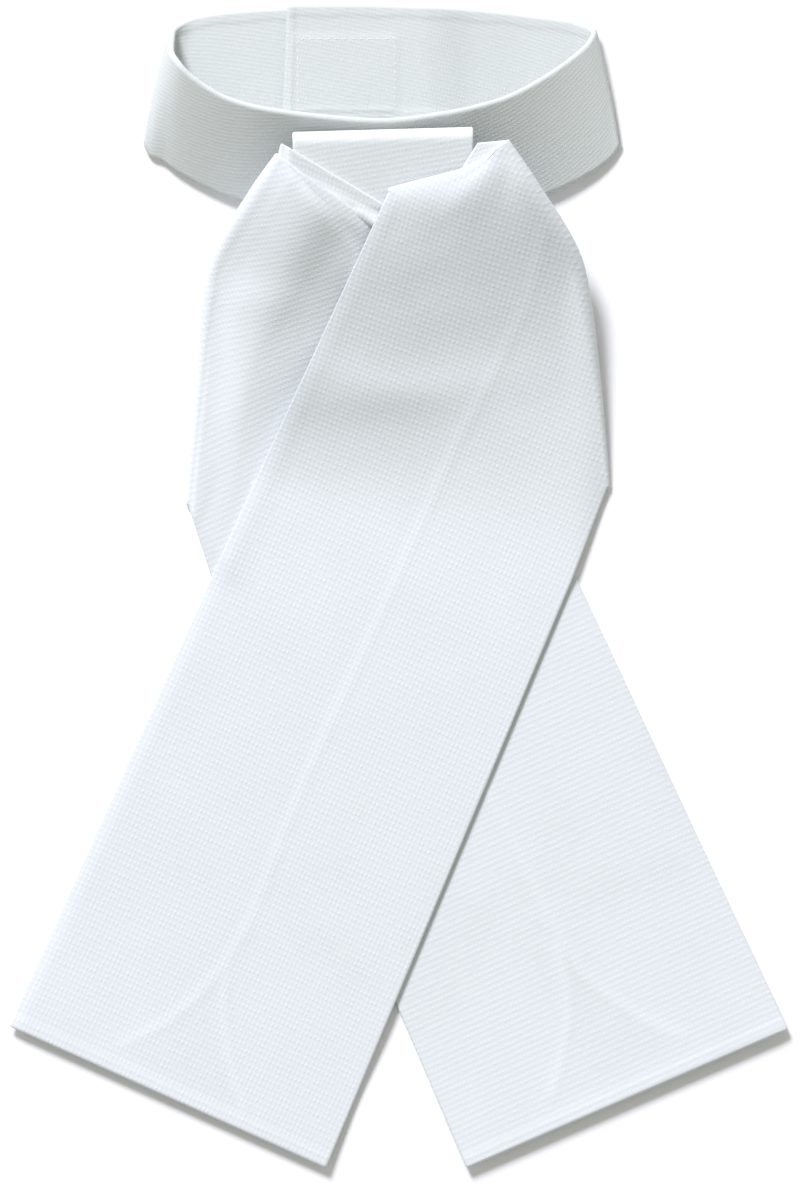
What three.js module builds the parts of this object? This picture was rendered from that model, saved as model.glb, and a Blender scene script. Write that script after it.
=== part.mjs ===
// A ready-tied riding cravat in white cotton pique, lying on its back.
// Millimetres, +Z up, +Y towards the neckband. The underside is at z = 0.
import * as THREE from 'three';

// Cloth
const BAND_WALL = 2.2;
const BAND_HEIGHT = 40.6;
const SCARF_WALL = 1.6;
const WRAP_WALL = 1.6;
const PIECE_GAP = 0.3;

// One layer of the scarf with the air under it
const LAYER = SCARF_WALL + 0.4;

// Places where cloth lies, at the middle of its thickness
const ON_TABLE = SCARF_WALL / 2;
const BAND_ON_TABLE = BAND_WALL / 2;

// Fastener pad between the overlapping ends of the band
const PAD = { left: -36.9, right: 0.5, low: 164.5, high: 192.5, thickness: 1.4, corner: 2.5 };
const BAND_ON_PAD = BAND_WALL + PIECE_GAP + PAD.thickness + PIECE_GAP + BAND_WALL / 2;

// Knot wrap: a flat loop of cloth, narrow at its top fold and full at its lower one
const WRAP = {
  centreX: -5.4,
  width: 63,
  turnDegrees: 1.6,
  topY: 155.2,
  topZ: 29.1,
  topRadius: 2.6,
  lowRadius: 6.2,
  length: 23.2,
  slopeDegrees: 29.5,
};

// How finely the shapes are cut
const BAND_STEPS = 66;
const BAND_LINES = 4;
const WRAP_ARC_STEPS = 7;
const SCARF_CREST_COLUMNS = 6;
const SCARF_FOLD_COLUMNS = 12;
const SCARF_DRAPE_ROWS = 16;
const SCARF_FLAT_ROWS = 11;
const SCARF_TURN_ROWS = 3;
const SCARF_BACK_ROWS = 6;

// The band is one strip, followed from its inner end round the neck to its outer end.
// Each row gives the rim, the lean of the strip's cross line to the right as it runs
// down, how steeply that line falls, and how far the strip bellies out between its edges.
const BAND_STATIONS = [
  { at: 'inner end', rimX: -38.0, rimY: 203.0, rimZ: BAND_ON_PAD, lean: -2.4, fall: 0, belly: 0 },
  { at: 'pad middle', rimX: -16.0, rimY: 203.1, rimZ: BAND_ON_PAD, lean: -0.9, fall: 0, belly: 0 },
  { at: 'pad end', rimX: 8.0, rimY: 202.5, rimZ: BAND_ON_PAD, lean: 0.4, fall: 0, belly: 0 },
  { at: 'step down', rimX: 27.0, rimY: 201.4, rimZ: 2.3, lean: 2.1, fall: 0, belly: 0 },
  { at: 'back right', rimX: 45.0, rimY: 199.5, rimZ: BAND_ON_TABLE, lean: 5.6, fall: 0, belly: 0 },
  { at: 'right low', rimX: 60.5, rimY: 197.2, rimZ: BAND_ON_TABLE, lean: 11.4, fall: 0, belly: 0 },
  { at: 'right side', rimX: 68.0, rimY: 194.2, rimZ: 3.7, lean: 12.2, fall: -0.8, belly: 0.6 },
  { at: 'right turn', rimX: 65.4, rimY: 189.5, rimZ: 8.2, lean: 13.0, fall: 8.0, belly: 0.8 },
  { at: 'front right', rimX: 56.5, rimY: 182.0, rimZ: 13.6, lean: 15.0, fall: 17.8, belly: 0.4 },
  { at: 'right quarter', rimX: 35.5, rimY: 169.8, rimZ: 21.9, lean: 13.2, fall: 30.8, belly: 0 },
  { at: 'right of knot', rimX: 14.5, rimY: 163.5, rimZ: 26.3, lean: 9.1, fall: 38.4, belly: 0 },
  { at: 'front', rimX: -6.5, rimY: 161.0, rimZ: 27.6, lean: 5.7, fall: 40.8, belly: 0 },
  { at: 'left of knot', rimX: -38.0, rimY: 163.8, rimZ: 27.2, lean: 4.7, fall: 40.0, belly: 0 },
  { at: 'left quarter', rimX: -59.0, rimY: 169.8, rimZ: 25.0, lean: 2.6, fall: 36.1, belly: 0.3 },
  { at: 'front left', rimX: -75.6, rimY: 180.3, rimZ: 20.0, lean: -0.8, fall: 27.6, belly: 0.8 },
  { at: 'left turn', rimX: -79.0, rimY: 189.0, rimZ: 10.6, lean: -8.1, fall: 12.0, belly: 1.6 },
  { at: 'left side', rimX: -78.0, rimY: 195.4, rimZ: 3.7, lean: -12.8, fall: 0, belly: 1.2 },
  { at: 'left low', rimX: -71.0, rimY: 198.8, rimZ: BAND_ON_TABLE, lean: -8.5, fall: 0, belly: 0 },
  { at: 'back left', rimX: -54.0, rimY: 201.2, rimZ: BAND_ON_TABLE, lean: -4.5, fall: 0, belly: 0 },
  { at: 'under pad', rimX: -25.0, rimY: 202.4, rimZ: BAND_ON_TABLE, lean: -1.4, fall: 0, belly: 0 },
  { at: 'outer end', rimX: 12.0, rimY: 202.0, rimZ: BAND_ON_TABLE, lean: 0.4, fall: 0, belly: 0 },
];

// Each half of the scarf is drawn in its own wing frame: +X points to the side where it
// leaves the wrap. It fans out behind to an outer fold, comes forward over that fold and
// over a crest at the knot, and falls to the table on its way to the other side.
// crest: the front panel's upper edge, from the V to the outer fold.
// fold: the outer fold, from the throat down to its corner, by its outline, the height
// of the layer behind and the radius of the turn.
const OVER_TAIL = {
  mirror: 1,
  crest: [
    { at: 'v point', x: -3.0, y: 137.6, z: 31.4 },
    { at: 'over knot', x: 8.0, y: 140.5, z: 32.2 },
    { at: 'high', x: 21.5, y: 144.0, z: 32.9 },
    { at: 'throat side', x: 30.0, y: 147.8, z: 32.8 },
  ],
  fold: [
    { at: 'throat', x: 38.7, y: 154.7, low: 23.6, turn: 3.6 },
    { at: 'shoulder', x: 49.5, y: 139.0, low: 13.5, turn: 5.0 },
    { at: 'side', x: 65.3, y: 110.3, low: 3.2, turn: 4.2 },
    { at: 'flank', x: 70.6, y: 72.5, low: ON_TABLE, turn: 2.4 },
    { at: 'corner', x: 74.0, y: 35.0, low: ON_TABLE, turn: LAYER / 2 },
  ],
  lie: { innerX: -50.8, innerY: 33.3, outerX: 60.0, outerY: 1.75 },
  end: { innerX: -135.3, innerY: -154.0, outerX: -25.7, outerY: -203.1 },
  fallPower: 2.0,
  shelf: 0,
  roll: 5,
  mouthX: WRAP.centreX + WRAP.width / 2,
  rootX: WRAP.centreX + PIECE_GAP,
};

const UNDER_TAIL = {
  mirror: -1,
  crest: [
    { at: 'v point', x: -2.3, y: 127.4, z: 22.6 },
    { at: 'low edge', x: 6.1, y: 132.7, z: 25.6 },
    { at: 'middle', x: 20.5, y: 141.6, z: 29.2 },
    { at: 'high edge', x: 33.0, y: 149.3, z: 32.8 },
  ],
  fold: [
    { at: 'throat', x: 42.0, y: 153.3, low: 26.2, turn: 2.8 },
    { at: 'shoulder', x: 52.0, y: 137.6, low: 12.5, turn: 4.8 },
    { at: 'side', x: 67.7, y: 106.8, low: 1.6, turn: 2.9 },
    { at: 'flank', x: 70.9, y: 70.0, low: ON_TABLE, turn: 1.7 },
    { at: 'corner', x: 73.7, y: 33.3, low: ON_TABLE, turn: LAYER / 2 },
  ],
  lie: { innerX: -32.2, innerY: 64.75, outerX: 64.9, outerY: 3.5 },
  end: { innerX: -135.3, innerY: -155.1, outerX: -24.3, outerY: -203.1 },
  fallPower: 2.4,
  shelf: 3,
  roll: 3,
  mouthX: -WRAP.centreX + WRAP.width / 2,
  rootX: -WRAP.centreX + PIECE_GAP,
};

// The middle of the gathered scarf where it passes through the wrap
const GATHER = { highY: 154.9, highZ: 28.5, lowY: 135.2, lowZ: 18.0 };
const BACK_FALL_POWER = 2.8;

// How cloth eases off what it lies on
const COVER_EASE = 1.1;
const COVER_BLEND = 4;
const COVER_PAST_END = 4;
const COVER_END_SLOPE = 1.2;

// Width over which a layer that lies on another comes down to the table beyond its edge
const STEP_START = 7;
const STEP_END = 22;

const cotton = (name, colour) => new THREE.MeshStandardMaterial({
  name,
  color: colour,
  roughness: 0.9,
  metalness: 0,
});

const radians = (degrees) => degrees * Math.PI / 180;

function smoothStep(from, to, value) {
  const f = Math.min(1, Math.max(0, (value - from) / (to - from)));
  return f * f * (3 - 2 * f);
}

// Value of one column of a table at f, from 0 at its first row to 1 at its last, on a
// smooth curve that never swings past its rows
function tableValue(rows, column, f) {
  const last = rows.length - 1;
  const place = Math.min(Math.max(f, 0), 1) * last;
  const k = Math.min(Math.floor(place), last - 1);
  const step = (i) => rows[i + 1][column] - rows[i][column];
  const slope = (i) => {
    if (i === 0) return step(0);
    if (i === last) return step(last - 1);
    const before = step(i - 1);
    const after = step(i);
    return before * after > 0 ? 2 * before * after / (before + after) : 0;
  };
  const t = place - k;
  const bend = slope(k) + slope(k + 1) - 2 * step(k);
  return rows[k][column] + t * (slope(k) + t * (3 * step(k) - 2 * slope(k) - slope(k + 1) + t * bend));
}

// The higher of two heights, eased where they are nearly equal; the ease fades out as
// the first comes down to the height at which it lies
function softHigher(a, b, lying) {
  const ease = Math.min(COVER_BLEND, 0.05 + (a - lying) / 2);
  const near = Math.max(ease - Math.abs(a - b), 0) / ease;
  return Math.max(a, b) + near * near * ease / 4;
}

// A closed solid of even thickness round a middle surface of quads
function sheetSolid(points, quads, thickness) {
  const normals = points.map(() => new THREE.Vector3());
  for (const quad of quads) {
    const [a, b, c, d] = quad.map((i) => points[i]);
    const normal = new THREE.Vector3().subVectors(c, a).cross(new THREE.Vector3().subVectors(d, b));
    quad.forEach((i) => normals[i].add(normal));
  }
  const count = points.length;
  const upper = points.map((p, i) => p.clone().addScaledVector(normals[i].normalize(), thickness / 2));
  const lower = points.map((p, i) => p.clone().addScaledVector(normals[i], -thickness / 2));
  const corners = [...upper, ...lower];
  const triangles = [];
  const edges = new Map();
  for (const [a, b, c, d] of quads) {
    triangles.push([a, b, c], [a, c, d]);
    triangles.push([count + a, count + c, count + b], [count + a, count + d, count + c]);
    for (const [from, to] of [[a, b], [b, c], [c, d], [d, a]]) {
      edges.set(`${from} ${to}`, [from, to]);
    }
  }
  for (const [from, to] of edges.values()) {
    if (!edges.has(`${to} ${from}`)) {
      triangles.push([from, count + from, count + to], [from, count + to, to]);
    }
  }
  return closedGeometry(corners, triangles);
}

// Geometry of a closed body, with its faces turned outwards
function closedGeometry(corners, triangles) {
  let volume = 0;
  for (const [a, b, c] of triangles) {
    volume += corners[a].dot(new THREE.Vector3().crossVectors(corners[b], corners[c]));
  }
  const outward = volume > 0 ? triangles : triangles.map(([a, b, c]) => [a, c, b]);
  const geometry = new THREE.BufferGeometry();
  geometry.setAttribute('position', new THREE.Float32BufferAttribute(corners.flatMap((p) => p.toArray()), 3));
  geometry.setIndex(outward.flat());
  geometry.computeVertexNormals();
  return geometry;
}

// Points and quads of a grid whose cells may be missing; pointAt gives null there
function collectGrid(columnCount, firstRow, lastRow, pointAt) {
  const points = [];
  const index = new Map();
  for (let column = 0; column <= columnCount; column += 1) {
    for (let row = firstRow; row <= lastRow; row += 1) {
      const point = pointAt(column, row);
      if (point) {
        index.set(`${column} ${row}`, points.length);
        points.push(point);
      }
    }
  }
  const quads = [];
  for (let column = 0; column < columnCount; column += 1) {
    for (let row = firstRow; row < lastRow; row += 1) {
      const names = [[column, row], [column + 1, row], [column + 1, row + 1], [column, row + 1]];
      const quad = names.map(([c, r]) => index.get(`${c} ${r}`));
      if (quad.every((i) => i !== undefined)) quads.push(quad);
    }
  }
  return { points, quads };
}

// Neckband

function bandPoint(f, across) {
  const value = (column) => tableValue(BAND_STATIONS, column, f);
  const lean = radians(value('lean'));
  const fall = radians(value('fall'));
  const run = BAND_HEIGHT * across;
  const outward = new THREE.Vector3(Math.sign(value('rimX')) * value('belly'), 0, 0);
  return new THREE.Vector3(
    value('rimX') + run * Math.sin(lean) * Math.cos(fall),
    value('rimY') - run * Math.cos(lean) * Math.cos(fall),
    value('rimZ') - run * Math.sin(fall),
  ).addScaledVector(outward, 4 * across * (1 - across));
}

function makeNeckband() {
  const { points, quads } = collectGrid(BAND_STEPS, 0, BAND_LINES, (step, line) => {
    const point = bandPoint(step / BAND_STEPS, line / BAND_LINES);
    point.z = Math.max(point.z, BAND_ON_TABLE);
    return point;
  });
  return new THREE.Mesh(sheetSolid(points, quads, BAND_WALL), cotton('band_cotton', 0xdfe3e0));
}

// Fastener pad

function makeFastenerPad() {
  const width = PAD.right - PAD.left;
  const height = PAD.high - PAD.low;
  const r = PAD.corner;
  const outline = new THREE.Shape();
  outline.absarc(width - r, r, r, -Math.PI / 2, 0);
  outline.absarc(width - r, height - r, r, 0, Math.PI / 2);
  outline.absarc(r, height - r, r, Math.PI / 2, Math.PI);
  outline.absarc(r, r, r, Math.PI, 3 * Math.PI / 2);
  const geometry = new THREE.ExtrudeGeometry(outline, {
    depth: PAD.thickness, bevelEnabled: false, curveSegments: 4,
  });
  const mesh = new THREE.Mesh(geometry, cotton('pad_tape', 0xe8eaea));
  mesh.position.set(PAD.left, PAD.low, BAND_WALL + PIECE_GAP);
  return mesh;
}

// Knot wrap

// The wrap's closed section, in Y and Z, offset outwards from its middle line
function wrapSection(offset) {
  const slope = radians(WRAP.slopeDegrees);
  const taper = Math.asin((WRAP.lowRadius - WRAP.topRadius) / WRAP.length);
  const lowY = WRAP.topY - WRAP.length * Math.cos(slope);
  const lowZ = WRAP.topZ - WRAP.length * Math.sin(slope);
  const section = [];
  const arc = (y, z, radius, from, to) => {
    for (let k = 0; k <= WRAP_ARC_STEPS; k += 1) {
      const angle = from + (to - from) * k / WRAP_ARC_STEPS;
      section.push([y + radius * Math.cos(angle), z + radius * Math.sin(angle)]);
    }
  };
  // The angle turns from +Y towards +Z; the walls leave each arc at its ends.
  const front = Math.PI / 2 + slope - taper;
  const back = Math.PI / 2 + slope + taper + Math.PI;
  arc(WRAP.topY, WRAP.topZ, WRAP.topRadius + offset, back - 2 * Math.PI, front);
  arc(lowY, lowZ, WRAP.lowRadius + offset, front, back);
  return section;
}

// Height of the middle of scarf cloth that lies on the wrap, with its ends sloped off
function heightOverWrap(x, planY) {
  const y = planY - (x - WRAP.centreX) * Math.tan(radians(WRAP.turnDegrees));
  const radius = WRAP.lowRadius + WRAP_WALL / 2 + PIECE_GAP + SCARF_WALL / 2 + COVER_EASE;
  const slope = radians(WRAP.slopeDegrees);
  const taper = Math.asin((WRAP.lowRadius - WRAP.topRadius) / WRAP.length);
  const lowY = WRAP.topY - WRAP.length * Math.cos(slope);
  const lowZ = WRAP.topZ - WRAP.length * Math.sin(slope);
  const past = Math.max(0, Math.abs(x - WRAP.centreX) - WRAP.width / 2 - COVER_PAST_END);
  const tangentY = lowY - radius * Math.sin(slope - taper);
  if (y < lowY - radius) return 0;
  const height = y > tangentY
    ? lowZ + radius * Math.cos(slope - taper) + (y - tangentY) * Math.tan(slope - taper)
    : lowZ + Math.sqrt(radius ** 2 - (y - lowY) ** 2);
  return height - past * COVER_END_SLOPE;
}

function makeKnotWrap() {
  const outer = wrapSection(WRAP_WALL / 2);
  const inner = wrapSection(-WRAP_WALL / 2);
  const shape = new THREE.Shape(outer.map(([y, z]) => new THREE.Vector2(y, z)));
  shape.holes.push(new THREE.Path(inner.map(([y, z]) => new THREE.Vector2(y, z))));
  const geometry = new THREE.ExtrudeGeometry(shape, { depth: WRAP.width, bevelEnabled: false });
  // The section's Y and Z were drawn in X and Y, and its width runs along Z.
  geometry.applyMatrix4(new THREE.Matrix4().makeBasis(
    new THREE.Vector3(0, 1, 0), new THREE.Vector3(0, 0, 1), new THREE.Vector3(1, 0, 0),
  ));
  geometry.translate(-WRAP.width / 2, -WRAP.topY, 0);
  const mesh = new THREE.Mesh(geometry, cotton('wrap_cotton', 0xeef1f2));
  mesh.position.set(WRAP.centreX, WRAP.topY, 0);
  mesh.rotation.z = radians(WRAP.turnDegrees);
  return mesh;
}

// Scarf halves

// The outer fold at f: its axis in plan, the way out from it, and its two layers
function foldAt(tail, f) {
  const value = (column, at) => tableValue(tail.fold, column, at);
  const step = 0.02;
  const along = new THREE.Vector2(
    value('x', Math.min(f + step, 1)) - value('x', Math.max(f - step, 0)),
    value('y', Math.min(f + step, 1)) - value('y', Math.max(f - step, 0)),
  ).normalize();
  const out = new THREE.Vector2(-along.y, along.x);
  const turn = value('turn', f);
  const axis = new THREE.Vector2(value('x', f), value('y', f)).addScaledVector(out, -turn - SCARF_WALL / 2);
  return { axis, out, turn, low: value('low', f) };
}

// Upper edge of the front panel at a column: the crest, then the top of the outer fold
function panelTop(tail, column) {
  if (column >= SCARF_CREST_COLUMNS) {
    const fold = foldAt(tail, (column - SCARF_CREST_COLUMNS) / SCARF_FOLD_COLUMNS);
    return new THREE.Vector3(fold.axis.x, fold.axis.y, fold.low + 2 * fold.turn);
  }
  const throat = foldAt(tail, 0);
  const rows = [...tail.crest, { x: throat.axis.x, y: throat.axis.y, z: throat.low + 2 * throat.turn }];
  const f = column / SCARF_CREST_COLUMNS;
  return new THREE.Vector3(tableValue(rows, 'x', f), tableValue(rows, 'y', f), tableValue(rows, 'z', f));
}

// Distance of a point from the line through two others, positive on its left
function leftOf(x, y, from, to) {
  const dx = to.x - from.x;
  const dy = to.y - from.y;
  return (dx * (y - from.y) - dy * (x - from.x)) / Math.hypot(dx, dy);
}

// Share of one layer that lies under a place this far past the layer's edge
function layerBelow(past) {
  return LAYER * (1 - smoothStep(STEP_START, STEP_END, past));
}

// Height of the middle of a panel where it lies flat, in the wing frame
function lyingHeight(tail, x, y) {
  const { fold, lie, end, mouthX } = UNDER_TAIL;
  const underX = x * tail.mirror * UNDER_TAIL.mirror;
  const corner = fold[fold.length - 1];
  const beyond = -leftOf(underX, y, { x: mouthX, y: GATHER.lowY }, corner);
  const onBack = ON_TABLE + layerBelow(Math.max(beyond, corner.y - y));
  if (tail === UNDER_TAIL) return onBack;
  const knee = { x: lie.outerX, y: lie.outerY };
  const tip = { x: end.outerX, y: end.outerY };
  return onBack + layerBelow(Math.max(leftOf(underX, y, corner, knee), leftOf(underX, y, knee, tip)));
}

// Height of a sheet's quads over a place in plan, or 0 where it has none
function heightOnSheet({ points, quads }, x, y) {
  for (const [a, b, c, d] of quads) {
    for (const [p, q, r] of [[points[a], points[b], points[c]], [points[a], points[c], points[d]]]) {
      const area = (q.x - p.x) * (r.y - p.y) - (r.x - p.x) * (q.y - p.y);
      const u = ((x - p.x) * (r.y - p.y) - (r.x - p.x) * (y - p.y)) / area;
      const v = ((q.x - p.x) * (y - p.y) - (x - p.x) * (q.y - p.y)) / area;
      if (u >= 0 && v >= 0 && u + v <= 1) return p.z + u * (q.z - p.z) + v * (r.z - p.z);
    }
  }
  return 0;
}

function frontPoint(tail, column, row, beneath) {
  const columns = SCARF_CREST_COLUMNS + SCARF_FOLD_COLUMNS;
  const a = column / columns;
  const top = panelTop(tail, column);
  const lie = new THREE.Vector3(
    tail.lie.innerX + (tail.lie.outerX - tail.lie.innerX) * a,
    tail.lie.innerY + (tail.lie.outerY - tail.lie.innerY) * a,
    0,
  );
  if (row > SCARF_DRAPE_ROWS) {
    const b = (row - SCARF_DRAPE_ROWS) / SCARF_FLAT_ROWS;
    const x = lie.x + (tail.end.innerX + (tail.end.outerX - tail.end.innerX) * a - lie.x) * b;
    const y = lie.y + (tail.end.innerY + (tail.end.outerY - tail.end.innerY) * a - lie.y) * b;
    return new THREE.Vector3(x, y, lyingHeight(tail, x, y));
  }
  const b = (row / SCARF_DRAPE_ROWS) ** 1.25;
  const x = top.x + (lie.x - top.x) * b;
  const y = top.y + (lie.y - top.y) * b;
  const length = Math.hypot(lie.x - top.x, lie.y - top.y);
  const soft = (d) => Math.hypot(Math.max(0, d - tail.shelf), tail.roll) - tail.roll;
  const fallen = Math.min(1, soft(b * length) / soft(length));
  const base = lyingHeight(tail, x, y);
  const draped = base + (top.z - base) * (1 - fallen) ** tail.fallPower;
  if (row === 0) return new THREE.Vector3(x, y, draped);
  const onWrap = heightOverWrap(x * tail.mirror, y);
  const onSheet = beneath ? heightOnSheet(beneath, x * tail.mirror, y) + LAYER : 0;
  return new THREE.Vector3(x, y, softHigher(draped, Math.max(onWrap, onSheet), base));
}

function turnPoint(tail, column, row) {
  const fold = foldAt(tail, (column - SCARF_CREST_COLUMNS) / SCARF_FOLD_COLUMNS);
  const angle = Math.PI / 2 + Math.PI * row / (SCARF_TURN_ROWS + 1);
  const out = fold.turn * -Math.cos(angle);
  return new THREE.Vector3(
    fold.axis.x + fold.out.x * out,
    fold.axis.y + fold.out.y * out,
    fold.low + fold.turn * (1 + Math.sin(angle)),
  );
}

function backPoint(tail, column, row) {
  const across = (column - SCARF_CREST_COLUMNS) / SCARF_FOLD_COLUMNS;
  const shift = Math.tan(radians(WRAP.turnDegrees)) * (tail.mouthX - tail.mirror * WRAP.centreX) * tail.mirror;
  const gatherY = GATHER.highY + (GATHER.lowY - GATHER.highY) * across + shift;
  const gatherZ = GATHER.highZ + (GATHER.lowZ - GATHER.highZ) * across;
  if (row > SCARF_BACK_ROWS) {
    return new THREE.Vector3(tail.rootX, gatherY - shift, gatherZ);
  }
  const fold = foldAt(tail, across);
  const s = 1 - row / SCARF_BACK_ROWS;
  return new THREE.Vector3(
    tail.mouthX + (fold.axis.x - tail.mouthX) * s,
    gatherY + (fold.axis.y - gatherY) * s,
    fold.low + (gatherZ - fold.low) * (1 - s) ** BACK_FALL_POWER,
  );
}

// A half of the scarf as a grid, from its gathered end in the wrap to its tail's end
function scarfGrid(tail, firstRow, beneath) {
  const columns = SCARF_CREST_COLUMNS + SCARF_FOLD_COLUMNS;
  const lastRow = SCARF_DRAPE_ROWS + SCARF_FLAT_ROWS;
  return collectGrid(columns, firstRow, lastRow, (column, row) => {
    let point = null;
    if (row >= 0) point = frontPoint(tail, column, row, beneath);
    else if (column < SCARF_CREST_COLUMNS) return null;
    else if (row >= -SCARF_TURN_ROWS) point = turnPoint(tail, column, -row);
    else point = backPoint(tail, column, -row - SCARF_TURN_ROWS - 1);
    point.x *= tail.mirror;
    return point;
  });
}

function makeScarfHalf(tail, beneath) {
  const { points, quads } = scarfGrid(tail, -SCARF_TURN_ROWS - SCARF_BACK_ROWS - 2, beneath);
  return new THREE.Mesh(sheetSolid(points, quads, SCARF_WALL), cotton('scarf_cotton', 0xf2f4f7));
}

function makeCravat() {
  const cravat = new THREE.Group();
  const parts = {
    neckband: makeNeckband(),
    fastener_pad: makeFastenerPad(),
    knot_wrap: makeKnotWrap(),
    under_tail: makeScarfHalf(UNDER_TAIL),
    over_tail: makeScarfHalf(OVER_TAIL, scarfGrid(UNDER_TAIL, 0)),
  };
  for (const [name, mesh] of Object.entries(parts)) {
    mesh.name = name;
    cravat.add(mesh);
  }
  return cravat;
}

export default makeCravat();
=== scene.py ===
"""A ready-tied riding cravat in white cotton pique, lying on its back on a pale surface."""

import math

import bpy
import numpy as np
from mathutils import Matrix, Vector
from mathutils.bvhtree import BVHTree


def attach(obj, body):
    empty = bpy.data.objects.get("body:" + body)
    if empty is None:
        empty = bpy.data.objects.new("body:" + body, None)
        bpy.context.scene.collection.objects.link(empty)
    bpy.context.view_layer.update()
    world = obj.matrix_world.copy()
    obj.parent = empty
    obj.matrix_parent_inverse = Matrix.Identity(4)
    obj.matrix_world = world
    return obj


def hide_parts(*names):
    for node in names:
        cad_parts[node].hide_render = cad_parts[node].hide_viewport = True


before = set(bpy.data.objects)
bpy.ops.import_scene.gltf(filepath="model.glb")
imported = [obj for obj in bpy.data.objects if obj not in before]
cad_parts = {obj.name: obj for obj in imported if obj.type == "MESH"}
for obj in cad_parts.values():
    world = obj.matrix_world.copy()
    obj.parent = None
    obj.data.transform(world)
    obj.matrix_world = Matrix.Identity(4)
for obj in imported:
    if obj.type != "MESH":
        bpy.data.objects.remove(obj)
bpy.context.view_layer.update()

# Sizes are in millimetres until a mesh is made.
MM = 0.001
UP = np.array([0.0, 0.0, 1.0])


def table(columns, *rows):
    """A table's rows, each by the names of its columns."""
    return [dict(zip(columns.split(), row)) for row in rows]


# Cloth
SCARF_WALL = 1.5
BAND_WALL = 2.2
WRAP_WALL = 1.6
PLY_WALL = 1.0
PLY_EASE = 0.05
PIECE_GAP = 0.3
LAYER = 2.0

# Places where cloth lies, at the middle of its thickness
ON_TABLE = 0.8
BAND_ON_TABLE = BAND_WALL / 2
BAND_HEIGHT = 40.6

# Fastener pad between the overlapping ends of the band
PAD = {"left": -36.9, "right": 0.5, "low": 164.5, "high": 192.5, "thickness": 1.4}
BAND_ON_PAD = BAND_WALL + PIECE_GAP + PAD["thickness"] + PIECE_GAP + BAND_WALL / 2

# Knot wrap: a flat loop of cloth, narrow at its top fold and full at its lower one
WRAP = {
    "centre_x": -5.4, "width": 63.0, "turn": 1.6, "top_y": 155.2, "top_z": 29.1,
    "top_radius": 2.6, "low_radius": 6.2, "length": 22.6, "slope": 24.0,
}

# How finely the cloth is cut, in millimetres
CELL = 1.5
WRAP_CELL = 1.1
FINE_EDGE = (0.0, 0.5, 1.0, 1.6, 2.3, 3.0, 3.8, 4.8)

# How many points or rows a run of cloth has; across and down are lengths it is cut for.
RIM_STEPS = 5
BAND_PROBES = 400
WRAP_TURN_POINTS = 40
SCARF_CUT = {
    "across": 115.0, "down": 228.0, "turn_rows": 10, "back_rows": 30, "mouth_rows": 12,
    "drape_rows": 65, "drape_ease": 1.25,
}

# The band is one strip, followed from its inner end round the neck to its outer end.
# Rim place, lean of the strip's cross line, how steeply it falls, and how far it bellies.
BAND_STATIONS = table(
    "at x y z lean fall belly",
    ("inner end", -38.0, 203.0, BAND_ON_PAD, -2.4, 0, 0),
    ("pad middle", -16.0, 203.1, BAND_ON_PAD, -0.9, 0, 0),
    ("pad end", 8.0, 202.5, BAND_ON_PAD, 0.4, 0, 0),
    ("step down", 27.0, 201.4, 2.3, 2.1, 0, 0),
    ("back right", 45.0, 199.5, BAND_ON_TABLE, 5.6, 0, 0),
    ("right low", 60.5, 197.2, BAND_ON_TABLE, 11.4, 0, 0),
    ("right side", 68.3, 194.2, 4.4, 12.5, 4.0, 0.3),
    ("right turn", 66.4, 190.2, 7.4, 13.0, 8.2, 0.4),
    ("front right", 56.5, 181.6, 13.4, 15.0, 15.5, 0.3),
    ("right quarter", 35.5, 169.8, 21.9, 13.2, 27.0, 0),
    ("right of knot", 14.5, 164.6, 26.3, 9.1, 35.8, 0),
    ("front", -6.5, 162.3, 27.6, 5.7, 39.0, 0),
    ("left of knot", -38.0, 165.0, 27.2, 4.7, 37.6, 0),
    ("left quarter", -59.0, 169.8, 25.0, 2.6, 32.4, 0.3),
    ("front left", -75.8, 181.4, 23.6, -7.5, 32.0, 0.4),
    ("left turn", -79.2, 187.6, 15.8, -11.5, 20.5, 0.8),
    ("left side", -78.8, 194.0, 6.0, -13.6, 5.6, 0.8),
    ("left low", -71.0, 198.8, BAND_ON_TABLE, -8.5, 0, 0),
    ("back left", -54.0, 201.2, BAND_ON_TABLE, -4.5, 0, 0),
    ("under pad", -25.0, 202.4, BAND_ON_TABLE, -1.4, 0, 0),
    ("outer end", 12.0, 202.0, BAND_ON_TABLE, 0.4, 0, 0),
)

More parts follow.
